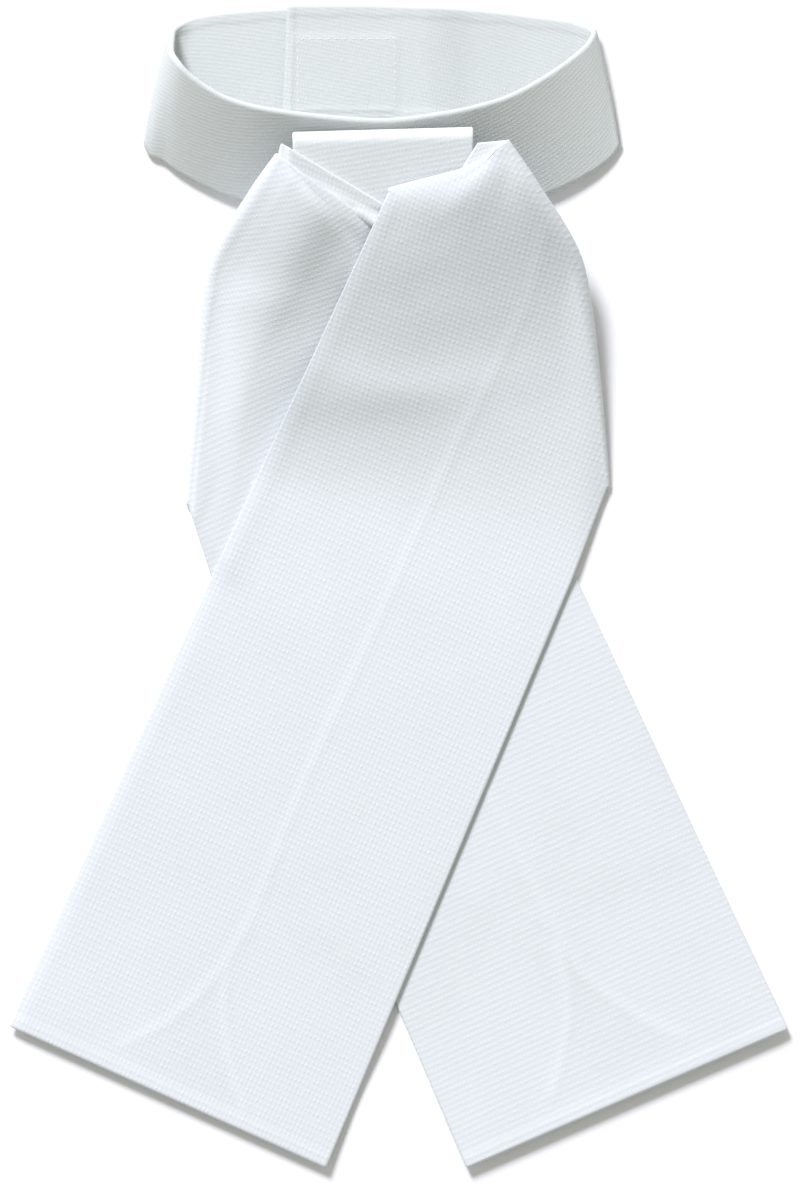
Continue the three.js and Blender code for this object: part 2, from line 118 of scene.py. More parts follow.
# Each half of the scarf is drawn in its own wing frame: +X points to the side where it
# leaves the wrap. crest is the front panel's upper edge, from the V to the outer fold;
# fold is the outer fold, by its outline, the layer behind and the radius of the turn.
# lie is the line where the panel comes to lie, and end is the tail's end. swells are low
# rises and hollows of the front panel, placed in the cravat's own frame.
OVER_TAIL = {
    "mirror": 1,
    "crest": table(
        "at x y z",
        ("v point", -3.0, 137.6, 31.4),
        ("over knot", 8.0, 140.5, 32.2),
        ("high", 21.5, 144.0, 33.6),
        ("throat side", 30.0, 147.8, 34.0),
    ),
    "fold": table(
        "at x y low turn",
        ("throat", 38.7, 154.7, 27.0, 3.5),
        ("shoulder", 49.5, 139.0, 20.8, 5.0),
        ("side", 65.3, 110.3, 9.4, 4.2),
        ("flank", 70.6, 72.5, 4.4, 2.2),
        ("corner", 74.0, 35.0, ON_TABLE, LAYER / 3),
    ),
    "lie": {"inner": (-50.8, 33.3), "outer": (60.0, 1.75)},
    "end": {"inner": (-135.3, -154.0), "outer": (-25.7, -203.1)},
    "fall_reach": 56.0, "fall_power": 1.55,
    "swells": table(
        "at x y angle long wide height",
        ("brow", 12.5, 135.0, 17, 17.0, 9.0, 2.3),
        ("below the knot", 4.0, 67.5, 6, 34.0, 7.5, 0.7),
        ("middle", 12.0, 94.0, 8, 30.0, 7.5, 0.22),
        ("low", -22.0, 44.0, 8, 26.0, 9.0, 0.35),
        ("inner edge", -24.0, 96.0, 65, 32.0, 16.0, -3.0),
    ),
    "mouth_x": WRAP["centre_x"] + WRAP["width"] / 2,
    "root_x": WRAP["centre_x"] + PIECE_GAP,
}
UNDER_TAIL = {
    "mirror": -1,
    "crest": table(
        "at x y z",
        ("v point", 0.2, 119.0, 17.6),
        ("low edge", 10.0, 126.0, 26.0),
        ("middle", 24.0, 135.8, 31.6),
        ("high edge", 35.0, 143.8, 33.8),
    ),
    "fold": table(
        "at x y low turn",
        ("throat", 43.0, 149.9, 28.0, 2.8),
        ("shoulder", 52.0, 137.6, 17.2, 4.8),
        ("side", 67.7, 106.8, 2.6, 2.9),
        ("flank", 70.9, 70.0, ON_TABLE, 1.4),
        ("corner", 74.4, 28.6, ON_TABLE, LAYER / 3),
    ),
    "lie": {"inner": (-32.2, 64.75), "outer": (64.9, 3.5)},
    "end": {"inner": (-135.3, -155.1), "outer": (-24.3, -203.1)},
    "fall_reach": 44.0, "fall_power": 1.6,
    "swells": table(
        "at x y angle long wide height",
        ("below the throat", -46.0, 99.0, -6, 15.0, 7.0, 0.6),
        ("brow", -24.0, 129.5, -35.5, 15.0, 8.0, 2.2),
        ("middle", -37.6, 121.2, -35.5, 16.0, 14.0, 1.5),
        ("beside the V", -12.0, 110.0, 65, 13.0, 11.0, 2.6),
        ("covered edge", -21.0, 88.0, 65, 24.0, 13.0, 3.4),
    ),
    "mouth_x": -WRAP["centre_x"] + WRAP["width"] / 2,
    "root_x": -WRAP["centre_x"] + PIECE_GAP,
}
# The rolled upper edge of each front panel
LIP = {
    "radius": 13.0, "least": 0.3, "fade_from": 0.35, "fade_to": 0.95, "tip": 0.3, "grown_by": 0.6,
    "turn": 16.0, "rows": 7,
}

# The inner ply of each half that shows between the wrap and the front panel
PLIES = {
    "under": {
        "high_start": (-40.6, 153.1, 31.9), "high_end": (-2.0, 130.3, 24.4),
        "low_start": (-42.8, 143.6, 31.9), "low_end": (-7.0, 121.0, 28.5),
    },
    "over": {
        "high_start": (27.8, 153.3, 33.3), "high_end": (37.4, 154.2, 33.0),
        "low_start": (20.6, 141.8, 32.4), "low_end": (36.4, 146.8, 32.6),
    },
}
PLY_CLEAR = 0.1

# A front panel's columns along its crest and its outer fold, and the gathers by the wrap
CREST_COLUMNS = 6
FOLD_COLUMNS = 12
ALL_COLUMNS = CREST_COLUMNS + FOLD_COLUMNS
GATHER = {"high_y": 151.4, "high_z": 27.3, "low_y": 135.2, "low_z": 18.0}
BACK_FALL_POWER = 4.5

# How cloth eases off what it lies on
COVER_EASE = 1.1
COVER_LOW_TURN = 0.8
COVER_PAST_END = 1.0
COVER_END_SLOPE = 1.2
COVER_SMOOTHING = 9
LIFT_START = 5.0
LIFT_FADE = 16.0
LIFT_ON_CREST = 0.75
STEP_START = 3.0
STEP_END = 32.0

# Rays are cast down from this height.
ABOVE_ALL = 100.0

# How far a front panel stays level past its crest, and the lengths it settles over
BROW = 3.5
SETTLE = 50.0
PUFF_REACH = 36.0
PUFF_SMOOTHING = 16
EDGE_REACH = 20.0

# The tails hang at this angle from the cravat's length, and the weave follows them.
TAIL_ANGLE = math.radians(24.0)
WEAVE_RISE = 0.45

# Seams of the lining that show through each tail, in plan
RIDGES = {
    "over": [
        [
            (50.6, 124.3), (46.0, 100.8), (32.0, 71.8), (20.8, 50.8), (9.3, 24.5), (-12.8, -25.2),
            (-30.3, -63.0), (-43.2, -95.2), (-52.0, -118.3), (-60.7, -133.0), (-70.9, -144.6),
            (-81.0, -153.3), (-95.7, -160.7),
        ],
        [(-60.0, -133.0), (-61.4, -147.7), (-59.3, -165.2), (-56.5, -175.4), (-53.7, -183.8)],
    ],
    "under": [
        [
            (24.0, -57.0), (32.7, -74.6), (41.5, -92.1), (48.7, -108.2), (57.4, -124.3), (64.6, -135.8),
            (74.7, -144.6), (88.0, -153.3), (99.6, -157.9),
        ],
        [(55.8, -127.1), (59.0, -141.8), (59.0, -153.3), (56.5, -168.0), (53.7, -178.5)],
    ],
}
# Between the seams at each tail's end the cloth has one layer less behind it.
THIN_PARTS = {
    "over": [(-60.0, -134.0), (-94.0, -166.0), (-55.0, -184.0)],
    "under": [(58.0, -128.0), (54.5, -180.0), (96.0, -162.0)],
}
# What a seam and a thin part add to the cloth's tone
BACKING = {"seam": 0.023, "thin": -0.025, "ease": 2.5}

# Low relief of the seams, the pressed inner edges and the hems
RIDGE = {"height": 0.17, "width": 1.6}
PRESSED_EDGE = {"height": 0.5, "reach": 4.6, "from_top": 7.0}
HEM = {"height": 0.17, "width": 3.0, "ease": 1.3}

# The turned end of the band that shows inside it
BAND_HEM = {"height": 0.28, "width": 1.9, "ease": 0.6}

# The end of each tail stands a little off what it lies on
CURL = {"height": 2.2, "reach": 70.0}

# The band's long edges are turned in a little unevenly
ROLL = {"height": 0.22, "width": 2.6, "ease": 1.2, "sway": 0.3, "pace": 2.9}

# The fastener pad shows through the band's inner end
IMPRINT = {"height": 0.3, "ease": 0.7}

# Stitches that hold the pad, inside its outline
STITCH = {
    "spacing": 3.0, "length": 2.3, "thickness": 0.36, "inset": 1.7, "sunk": 0.06,
    "shortest": 0.88, "longest": 1.06, "seed": 7, "ball": (8, 6, 0.5),
}

# One half of the scarf laid flat, in metres
HALF_FLAT = (0.16, 0.46)

# Finishes in metres, with the turn of the weave in degrees. The last column is painted shade: how much
# darker the weave's low places are coloured.
PIQUES = table(
    "name colour cord rib depth turn shade",
    ("scarf_pique", (0.79, 0.81, 0.84), 0.00153, 0.0020, 0.00006, 0.0, 0.035),
    # The band's colour is darker, partly for its finer weave and partly as painted shade.
    ("band_pique_fine_weave_painted_shade", (0.70, 0.722, 0.715), 0.0011, 0.0015, 0.00005, -12.5, 0.05),
    # The wrap's colour is lighter than the scarf's as painted light.
    ("wrap_pique_painted_light", (0.825, 0.845, 0.86), 0.00153, 0.0019, 0.00005, 9.0, 0.03),
)

# How each finish takes the light
COTTON = {"Roughness": 0.85, "Specular IOR Level": 0.2, "Sheen Weight": 0.05, "Sheen Roughness": 0.5}
THREAD = {"Base Color": (0.80, 0.81, 0.82, 1), "Roughness": 0.6}
PALE_FLOOR = {"Base Color": (0.99, 0.965, 0.99, 1), "Roughness": 0.9, "Specular IOR Level": 0.1}

# Noise that makes the weave uneven: its scale, its detail and how much it changes
WANDER = {"scale": 260.0, "detail": 2.0, "by": 0.0006}
PATCHES = {"scale": 420.0, "detail": 2.0, "range": (0.35, 0.62, 0.35, 1.0)}
FIBRES = {"scale": 2600.0, "detail": 3.0, "height": 1.1}
BLOTCHES = {"scale": 38.0, "detail": 3.0, "range": (0.3, 0.7, 0.985, 1.01)}

# How much single cords and ribs count beside their crossings, and the weave height from which no shade is
# painted into the colour
LINE_SHARE = 0.35
UNSHADED_WEAVE_HEIGHT = 1.7

# The twist of the sewing thread
TWIST = {"scale": 2400.0, "detail": 2.0, "depth": 0.00005}

# Floor, light and camera, in metres, with the lens and its sensor in millimetres
FLOOR_SIZE = 6.0
LAMP = {"at": (-0.32, 0.72, 0.62), "away": 6.0, "size": 1.8, "power": 394.0, "colour": (0.98, 1.0, 1.085)}
ROOM = {"Color": (0.96, 1.0, 0.90, 1), "Strength": 0.43}
VIEW = {"x": 0.00245, "y": -0.00525, "height_seen": 0.42, "lens": 300.0, "sensor": 24.0}


# Plain helpers


def smooth_step(start, end, value):
    """From 0 at start to 1 at end, level at both."""
    f = np.clip((value - start) / (end - start), 0.0, 1.0)
    return f * f * (3 - 2 * f)


def table_value(rows, column, f):
    """A column of a table at f, from 0 at its first row to 1 at its last, on a smooth curve."""
    last = len(rows) - 1
    place = min(max(f, 0.0), 1.0) * last
    k = min(int(place), last - 1)

    def step(i):
        return rows[i + 1][column] - rows[i][column]

    def slope(i):
        if i == 0:
            return step(0)
        if i == last:
            return step(last - 1)
        before, after = step(i - 1), step(i)
        return 2 * before * after / (before + after) if before * after > 0 else 0.0

    t = place - k
    bend = slope(k) + slope(k + 1) - 2 * step(k)
    return rows[k][column] + t * (slope(k) + t * (3 * step(k) - 2 * slope(k) - slope(k + 1) + t * bend))


def hem_height(hem, distance):
    """Extra height along a turned edge, which eases off past the hem's width."""
    return hem["height"] * (1 - smooth_step(hem["width"], hem["width"] + hem["ease"], distance))


def moved_along(grid, axis, reach):
    """Copies of a grid moved by up to some cells along an axis, with its edges kept."""
    width = [(reach, reach) if k == axis else (0, 0) for k in (0, 1)]
    padded = np.pad(grid, width, mode="edge")
    size = grid.shape[axis]
    return np.array([np.take(padded, range(d, d + size), axis=axis) for d in range(2 * reach + 1)])


def smoothed(grid, axis, reach):
    """A grid averaged along an axis, with nearer cells counting more."""
    weights = np.array([1 + math.cos(math.pi * d / (reach + 1)) for d in range(-reach, reach + 1)])
    return np.tensordot(weights / weights.sum(), moved_along(grid, axis, reach), axes=1)


def smooth_cover(lift, reach):
    """A smooth lift that is nowhere below the given one."""
    for axis in (0, 1):
        lift = moved_along(lift, axis, reach).max(axis=0)
    for axis in (0, 1):
        lift = smoothed(lift, axis, reach)
    return lift


def spread(length, cell, fine_start=True, fine_end=True):
    """Shares of a length, from 0 to 1, closer together near the ends that ask for it."""
    start = [x for x in FINE_EDGE if fine_start and x < length / 3] or [0.0]
    end = [length - x for x in FINE_EDGE if fine_end and x < length / 3] or [length]
    count = max(2, round((end[-1] - start[-1]) / cell))
    middle = np.linspace(start[-1], end[-1], count + 1)[1:-1]
    return np.array(start + list(middle) + end[::-1]) / length


def distance_along(line):
    """How far each point of a line is along it."""
    return np.concatenate([[0], np.cumsum(np.linalg.norm(np.diff(line, axis=0), axis=1))])


def distance_to_line(x, y, line):
    """Distance in plan from points to a line of straight runs."""
    best = np.full(np.shape(x), np.inf)
    for (ax, ay), (bx, by) in zip(line, line[1:]):
        dx, dy = bx - ax, by - ay
        t = np.clip(((x - ax) * dx + (y - ay) * dy) / (dx * dx + dy * dy), 0, 1)
        best = np.minimum(best, np.hypot(x - ax - t * dx, y - ay - t * dy))
    return best


# Cloth meshes


def put_in_scene(name, data):
    """An object of a mesh, a lamp or a camera."""
    thing = bpy.data.objects.new(name, data)
    bpy.context.scene.collection.objects.link(thing)
    return thing


def add_piece(name, mesh):
    """A piece with smooth faces."""
    mesh.polygons.foreach_set("use_smooth", [True] * len(mesh.polygons))
    return put_in_scene(name, mesh)


def vertex_normals(points, quads):
    """Normals at the points of a cloth's middle surface."""
    corners = points[quads]
    face = np.cross(corners[:, 2] - corners[:, 0], corners[:, 3] - corners[:, 1])
    normals = np.zeros_like(points)
    for k in range(4):
        np.add.at(normals, quads[:, k], face)
    return normals / np.maximum(np.linalg.norm(normals, axis=1, keepdims=True), 1e-12)


def free_edges(quads):
    """Edges that belong to one quad, each with that quad on its left."""
    directed = {}
    for quad in quads.tolist():
        for k in range(4):
            directed[(quad[k], quad[(k + 1) % 4])] = True
    return [edge for edge in directed if (edge[1], edge[0]) not in directed]


def rim_frame(points, normals, edges):
    """The points along a cloth's free edges, and the way out from the cloth at each."""
    along = np.zeros_like(points)
    for a, b in edges:
        run = points[b] - points[a]
        run /= max(np.linalg.norm(run), 1e-9)
        along[a] += run
        along[b] += run
    rim = sorted({a for edge in edges for a in edge})
    out = np.cross(along[rim], normals[rim])
    return rim, out / np.maximum(np.linalg.norm(out, axis=1, keepdims=True), 1e-9)


def cloth_mesh(name, points, quads, wall, raised=0.0, weave=None, backing=None):
    """A closed cloth of a given wall round its middle surface, with round edges."""
    points = np.asarray(points, float)
    quads = np.asarray(quads, int)
    normals = vertex_normals(points, quads)
    edges = free_edges(quads)
    rim, out = rim_frame(points, normals, edges)
    count = len(points)
    raised = np.broadcast_to(raised, (count,))
    half = wall / 2
    vertices = [points + normals * (half + raised)[:, None], points - normals * half]
    for k in range(1, RIM_STEPS):
        angle = math.pi / 2 - math.pi * k / RIM_STEPS
        lift = half * math.sin(angle) + raised[rim] * max(0.0, math.sin(angle))
        vertices.append(points[rim] + normals[rim] * lift[:, None] + out * half * math.cos(angle))
    place = {vertex: i for i, vertex in enumerate(rim)}

    def ring(vertex, k):
        if k == 0:
            return vertex
        if k == RIM_STEPS:
            return count + vertex
        return 2 * count + (k - 1) * len(rim) + place[vertex]

    faces = quads.tolist() + (quads[:, ::-1] + count).tolist()
    for a, b in edges:
        for k in range(RIM_STEPS):
            faces.append([ring(a, k), ring(a, k + 1), ring(b, k + 1), ring(b, k)])
    mesh = bpy.data.meshes.new(name)
    mesh.from_pydata((np.vstack(vertices) * MM).tolist(), [], faces)
    mesh.update()

    def everywhere(values):
        return np.concatenate([values, values, *[values[rim]] * (RIM_STEPS - 1)])

    weave = points[:, :2] if weave is None else np.asarray(weave, float)
    corner_vertices = np.zeros(len(mesh.loops), int)
    mesh.loops.foreach_get("vertex_index", corner_vertices)
    layer = mesh.uv_layers.new(name="weave")
    layer.data.foreach_set("uv", (everywhere(weave) * MM)[corner_vertices].ravel())
    if backing is not None:
        tone = mesh.attributes.new("backing", "FLOAT", "POINT")
        tone.data.foreach_set("value", everywhere(backing))
    return add_piece(name, mesh)


def grid_quads(row_count, column_count, first=0):
    """Quads of a grid whose points run row by row."""
    quads = []
    for r in range(row_count - 1):
        for c in range(column_count - 1):
            k = first + r * column_count + c
            quads.append([k, k + 1, k + column_count + 1, k + column_count])
    return quads


def facing(ways, points, quads):
    """The same quads, turned so that most of the cloth's upper side looks the given ways."""
    quads = np.asarray(quads, int)
    agreed = (vertex_normals(np.asarray(points, float), quads) * ways).sum()
    return quads if agreed > 0 else quads[:, ::-1]


# Neckband


def band_point(f, across):
    """A point of the band at f along it, from its rim at 0 to its other edge at 1."""
    lean = math.radians(table_value(BAND_STATIONS, "lean", f))
    fall = math.radians(table_value(BAND_STATIONS, "fall", f))
    rim_x = table_value(BAND_STATIONS, "x", f)
    belly = 4 * across * (1 - across) * table_value(BAND_STATIONS, "belly", f)
    run = BAND_HEIGHT * across
    return (
        rim_x + run * math.sin(lean) * math.cos(fall) + math.copysign(belly, rim_x),
        table_value(BAND_STATIONS, "y", f) - run * math.cos(lean) * math.cos(fall),
        max(table_value(BAND_STATIONS, "z", f) - run * math.sin(fall), BAND_ON_TABLE),
    )


def make_neckband():
    """The band with its turned edges and the imprint of the pad, and its length."""
    shares = np.linspace(0, 1, BAND_PROBES)
    travelled = distance_along(np.array([band_point(f, 0.5) for f in shares]))
    length = travelled[-1]
    inset = BAND_WALL / 2
    along = spread(length, CELL)
    across = spread(BAND_HEIGHT, CELL)
    margin = inset / BAND_HEIGHT
    points, weave = [], []
    for a in along:
        f = float(np.interp(a * length, travelled, shares))
        for b in across:
            points.append(band_point(f, margin + (1 - 2 * margin) * b))
            weave.append((a * length, b * BAND_HEIGHT))
    points, weave = np.array(points), np.array(weave)
    quads = facing(points.mean(axis=0) - points, points, grid_quads(len(along), len(across)))
    from_end, from_rim = weave[:, 0], weave[:, 1]
    raised = hem_height(BAND_HEM, from_end)
    inner_end, rim_y = BAND_STATIONS[0]["x"], BAND_STATIONS[0]["y"]
    beside = np.minimum(from_end - (PAD["left"] - inner_end), (PAD["right"] - inner_end) - from_end)
    between = np.minimum(from_rim - (rim_y - PAD["high"]), (rim_y - PAD["low"]) - from_rim)
    edge = np.minimum(from_rim, BAND_HEIGHT - from_rim) + ROLL["sway"] * np.sin(from_end / ROLL["pace"])
    raised += hem_height(ROLL, edge)
    raised += IMPRINT["height"] * smooth_step(-IMPRINT["ease"], IMPRINT["ease"], np.minimum(beside, between))
    return cloth_mesh("neckband_cloth", points, quads, BAND_WALL, raised, weave), length


# Fastener pad


def make_fastener_pad():
    """The plain pad that lies between the ends of the band."""
    width = PAD["right"] - PAD["left"]
    height = PAD["high"] - PAD["low"]
    columns, rows = spread(width, CELL), spread(height, CELL)
    inset = PAD["thickness"] / 2
    z = BAND_WALL + PIECE_GAP + PAD["thickness"] / 2
    points = []
    for r in rows:
        for c in columns:
            x = PAD["left"] + inset + (width - 2 * inset) * c
            y = PAD["low"] + inset + (height - 2 * inset) * r
            points.append((x, y, z))
    quads = facing(UP, points, grid_quads(len(rows), len(columns)))
    return cloth_mesh("fastener_tape", points, quads, PAD["thickness"])


# Knot wrap


def wrap_shape():
    """Slope and taper of the wrap, and the middle of its lower fold."""
    slope = math.radians(WRAP["slope"])
    taper = math.asin((WRAP["low_radius"] - WRAP["top_radius"]) / WRAP["length"])
    low_y = WRAP["top_y"] - WRAP["length"] * math.cos(slope)
    low_z = WRAP["top_z"] - WRAP["length"] * math.sin(slope)
    return slope, taper, low_y, low_z


def wrap_section(cell):
    """The wrap's closed section in Y and Z, by even steps, and its length."""
    slope, taper, low_y, low_z = wrap_shape()
    front = math.pi / 2 + slope - taper
    back = math.pi / 2 + slope + taper + math.pi
    line = []
    for y, z, radius, start, end in (
        (WRAP["top_y"], WRAP["top_z"], WRAP["top_radius"], back - 2 * math.pi, front),
        (low_y, low_z, WRAP["low_radius"], front, back),
    ):
        for angle in np.linspace(start, end, WRAP_TURN_POINTS):
            line.append((y + radius * math.cos(angle), z + radius * math.sin(angle)))
    line = np.array(line + line[:1])
    travelled = distance_along(line)
    count = round(travelled[-1] / cell)
    places = np.linspace(0, travelled[-1], count + 1)[:-1]
    even = np.stack([np.interp(places, travelled, line[:, k]) for k in range(2)], axis=1)
    return even, places, travelled[-1]


def make_knot_wrap():
    """The loop round the middle of the scarf, and how far it is round."""
    section, places, around = wrap_section(WRAP_CELL)
    inset = WRAP_WALL / 2
    width = WRAP["width"] - 2 * inset
    columns = spread(width, CELL)
    turn = math.radians(WRAP["turn"])
    points, weave = [], []
    for (y, z), place in zip(section, places):
        for c in columns:
            x = (c - 0.5) * width
            points.append((
                WRAP["centre_x"] + x * math.cos(turn) - (y - WRAP["top_y"]) * math.sin(turn),
                WRAP["top_y"] + x * math.sin(turn) + (y - WRAP["top_y"]) * math.cos(turn),
                z,
            ))
            weave.append((x, place))
    count = len(columns)
    quads = []
    for r in range(len(section)):
        for c in range(count - 1):
            k, following = r * count + c, ((r + 1) % len(section)) * count + c
            quads.append([k, k + 1, following + 1, following])
    points = np.array(points)
    quads = facing(points - points.mean(axis=0), points, quads)
    return cloth_mesh("knot_wrap_cloth", points, quads, WRAP_WALL, 0.0, weave), around


def height_over_wrap(x, plan_y, wall, ease):
    """Height of the middle of cloth that lies on the wrap, with its ends sloped off."""
    y = plan_y - (x - WRAP["centre_x"]) * math.tan(math.radians(WRAP["turn"]))
    radius = WRAP["low_radius"] + WRAP_WALL / 2 + PIECE_GAP + wall / 2 + ease
    slope, taper, low_y, low_z = wrap_shape()
    past = max(0.0, abs(x - WRAP["centre_x"]) - WRAP["width"] / 2 - COVER_PAST_END)
    tangent_y = low_y - radius * math.sin(slope - taper)
    leave_y = low_y - radius * COVER_LOW_TURN
    leave_rise = math.sqrt(1 - COVER_LOW_TURN ** 2)
    if y > tangent_y:
        height = low_z + radius * math.cos(slope - taper) + (y - tangent_y) * math.tan(slope - taper)
    elif y > leave_y:
        height = low_z + math.sqrt(radius ** 2 - (y - low_y) ** 2)
    else:
        height = low_z + radius * leave_rise - (leave_y - y) * COVER_LOW_TURN / leave_rise
    return height - past * COVER_END_SLOPE


# Scarf halves


def fold_at(tail, f):
    """The outer fold at f: its axis in plan, the way out from it, its radius and its lower side."""
    rows = tail["fold"]
    step = 0.02
    along = Vector((
        table_value(rows, "x", min(f + step, 1)) - table_value(rows, "x", max(f - step, 0)),
        table_value(rows, "y", min(f + step, 1)) - table_value(rows, "y", max(f - step, 0)),
    )).normalized()
    out = Vector((-along.y, along.x))
    turn = table_value(rows, "turn", f)
    axis = Vector((table_value(rows, "x", f), table_value(rows, "y", f))) - out * (turn + SCARF_WALL / 2)
    return {"axis": axis, "out": out, "turn": turn, "low": table_value(rows, "low", f)}


def panel_top(tail, column):
    """Upper edge of the front panel at a column: the crest, then the top of the outer fold."""
    if column >= CREST_COLUMNS:
        fold = fold_at(tail, (column - CREST_COLUMNS) / FOLD_COLUMNS)
        return Vector((fold["axis"].x, fold["axis"].y, fold["low"] + 2 * fold["turn"]))
    throat = fold_at(tail, 0)
    top = {"x": throat["axis"].x, "y": throat["axis"].y, "z": throat["low"] + 2 * throat["turn"]}
    rows = tail["crest"] + [top]
    f = column / CREST_COLUMNS
    return Vector([table_value(rows, axis, f) for axis in "xyz"])


def left_of(x, y, start, end):
    """Distance in plan of points to the left of a line."""
    dx, dy = end[0] - start[0], end[1] - start[1]
    return (dx * (y - start[1]) - dy * (x - start[0])) / math.hypot(dx, dy)


def layer_below(past):
    """Height of a layer beneath, which eases away past that layer's edge."""
    return LAYER * (1 - float(smooth_step(STEP_START, STEP_END, past)))


def lying_height(tail, x, y):
    """Height of the middle of a panel where it lies flat, in the wing frame."""
    under_x = x * tail["mirror"] * UNDER_TAIL["mirror"]
    corner = (UNDER_TAIL["fold"][-1]["x"], UNDER_TAIL["fold"][-1]["y"])
    mouth = (UNDER_TAIL["mouth_x"], GATHER["low_y"])
    beyond = -left_of(under_x, y, mouth, corner)
    on_back = ON_TABLE + layer_below(max(beyond, corner[1] - y))
    if tail is UNDER_TAIL:
        return on_back
    knee, tip = UNDER_TAIL["lie"]["outer"], UNDER_TAIL["end"]["outer"]
    past = max(left_of(under_x, y, corner, knee), left_of(under_x, y, knee, tip))
    return on_back + layer_below(past)


def from_lie(tail, x, y):
    """Distance in plan above the line where the front panel comes to lie."""
    return left_of(x, y, tail["lie"]["inner"], tail["lie"]["outer"])


def panel_height(tail, x, y):
    """Height of the front panel where it hangs freely: even along its crest, falling from it."""
    first, last = tail["crest"][0], tail["crest"][-1]
    dx, dy = last["x"] - first["x"], last["y"] - first["y"]
    length = math.hypot(dx, dy)
    along = ((x - first["x"]) * dx + (y - first["y"]) * dy) / length ** 2
    away = ((x - first["x"]) * dy - (y - first["y"]) * dx) / length
    share = math.exp(-((max(away - BROW, 0.0) / tail["fall_reach"]) ** tail["fall_power"]))
    base = lying_height(tail, x, y)
    height = base + (table_value(tail["crest"], "z", along) - base) * share
    for swell in tail["swells"]:
        turned = math.radians(swell["angle"])
        sx, sy = x * tail["mirror"] - swell["x"], y - swell["y"]
        over = (sx * math.cos(turned) + sy * math.sin(turned)) / swell["long"]
        up = (sy * math.cos(turned) - sx * math.sin(turned)) / swell["wide"]
        height += swell["height"] * math.exp(-over * over - up * up)
    return height


def place_across(line, column):
    """Where a column of the front panel meets a line across it."""
    a = column / ALL_COLUMNS
    return [inner + (outer - inner) * a for inner, outer in zip(line["inner"], line["outer"])]


def drape_point(tail, column, b, top):
    """A point of the front panel between its top, at 0, and the line where it lies, at 1."""
    lie_x, lie_y = place_across(tail["lie"], column)
    x = top[0] + (lie_x - top[0]) * b
    y = top[1] + (lie_y - top[1]) * b
    base = lying_height(tail, x, y)
    hanging = float(smooth_step(0.0, SETTLE, from_lie(tail, x, y)))
    return x, y, base + (panel_height(tail, x, y) - base) * hanging


def lift_off(tail, point, beneath):
    """How far a point of the front panel must rise to lie on what is beneath it."""
    x, y, z = point * (tail["mirror"], 1, 1)
    held = height_over_wrap(x, y, SCARF_WALL, COVER_EASE)
    for surface in beneath:
        hit = surface.ray_cast((x, y, ABOVE_ALL), -UP)[0]
        if hit is not None:
            held = max(held, hit.z + LAYER)
    return max(0.0, held - z)


def surface_tree(tail, rows):
    """A surface to cast rays on, from rows of points in a tail's wing frame."""
    grid = np.array(rows)
    points = grid.reshape(-1, 3) * (tail["mirror"], 1, 1)
    return BVHTree.FromPolygons(points.tolist(), grid_quads(*grid.shape[:2]))


def draped_rows(tail, columns, tops, steps, beneath):
    """The front panel's falling part, lifted smoothly over the wrap and the cloth beneath."""
    rows = np.array([[drape_point(tail, c, b, top) for c, top in zip(columns, tops)] for b in steps])
    from_top = np.linalg.norm(rows[:, :, :2] - rows[:1, :, :2], axis=2)
    puff = tops[:, 2] - rows[:1, :, 2]
    wide_puff = smoothed(puff, 1, PUFF_SMOOTHING)
    rows[:, :, 2] += wide_puff * (1 - smooth_step(0.0, PUFF_REACH, from_top))
    rows[:, :, 2] += (puff - wide_puff) * (1 - smooth_step(0.0, EDGE_REACH, from_top))
    lift = np.array([[lift_off(tail, point, beneath) for point in row] for row in rows])
    lift = smooth_cover(lift, COVER_SMOOTHING)
    on_crest = 1 - smooth_step(LIFT_ON_CREST, 1.0, columns / CREST_COLUMNS)
    lift *= smooth_step(0.0, LIFT_FADE, from_lie(tail, rows[:, :, 0], rows[:, :, 1]))
    rows[:, :, 2] += lift * np.maximum(on_crest[None, :], smooth_step(0.0, LIFT_START, from_top))
    return rows


def flat_point(tail, column, b):
    """A point of the tail between the line where it comes to lie, at 0, and its end, at 1."""
    lie_x, lie_y = place_across(tail["lie"], column)
    end_x, end_y = place_across(tail["end"], column)
    x = lie_x + (end_x - lie_x) * b
    y = lie_y + (end_y - lie_y) * b
    from_end = (1 - b) * math.dist(tail["end"]["inner"], tail["lie"]["inner"])
    curl = CURL["height"] * max(0.0, 1 - from_end / CURL["reach"]) ** 2
    return x, y, lying_height(tail, x, y) + curl


def turn_point(tail, column, t):
    """A point of the outer fold's turn, from its top at 0 to the layer behind at 1."""
    fold = fold_at(tail, (column - CREST_COLUMNS) / FOLD_COLUMNS)
    angle = math.pi / 2 + math.pi * t
    out = -fold["turn"] * math.cos(angle)
    return (
        fold["axis"].x + fold["out"].x * out,
        fold["axis"].y + fold["out"].y * out,
        fold["low"] + fold["turn"] * (1 + math.sin(angle)),
    )


def back_point(tail, column, s):
    """A point of the layer behind, from the fold at 0 to the wrap's mouth at 1 and on to 2."""
    across = (column - CREST_COLUMNS) / FOLD_COLUMNS
    reach = (tail["mouth_x"] - tail["mirror"] * WRAP["centre_x"]) * tail["mirror"]
    shift = math.tan(math.radians(WRAP["turn"])) * reach
    gather_y = GATHER["high_y"] + (GATHER["low_y"] - GATHER["high_y"]) * across
    gather_z = GATHER["high_z"] + (GATHER["low_z"] - GATHER["high_z"]) * across
    if s > 1:
        k = s - 1
        return (
            tail["mouth_x"] + (tail["root_x"] - tail["mouth_x"]) * k,
            gather_y + shift * (1 - k),
            gather_z,
        )
    fold = fold_at(tail, across)
    return (
        fold["axis"].x + (tail["mouth_x"] - fold["axis"].x) * s,
        fold["axis"].y + (gather_y + shift - fold["axis"].y) * s,
        fold["low"] + (gather_z - fold["low"]) * s ** BACK_FALL_POWER,
    )


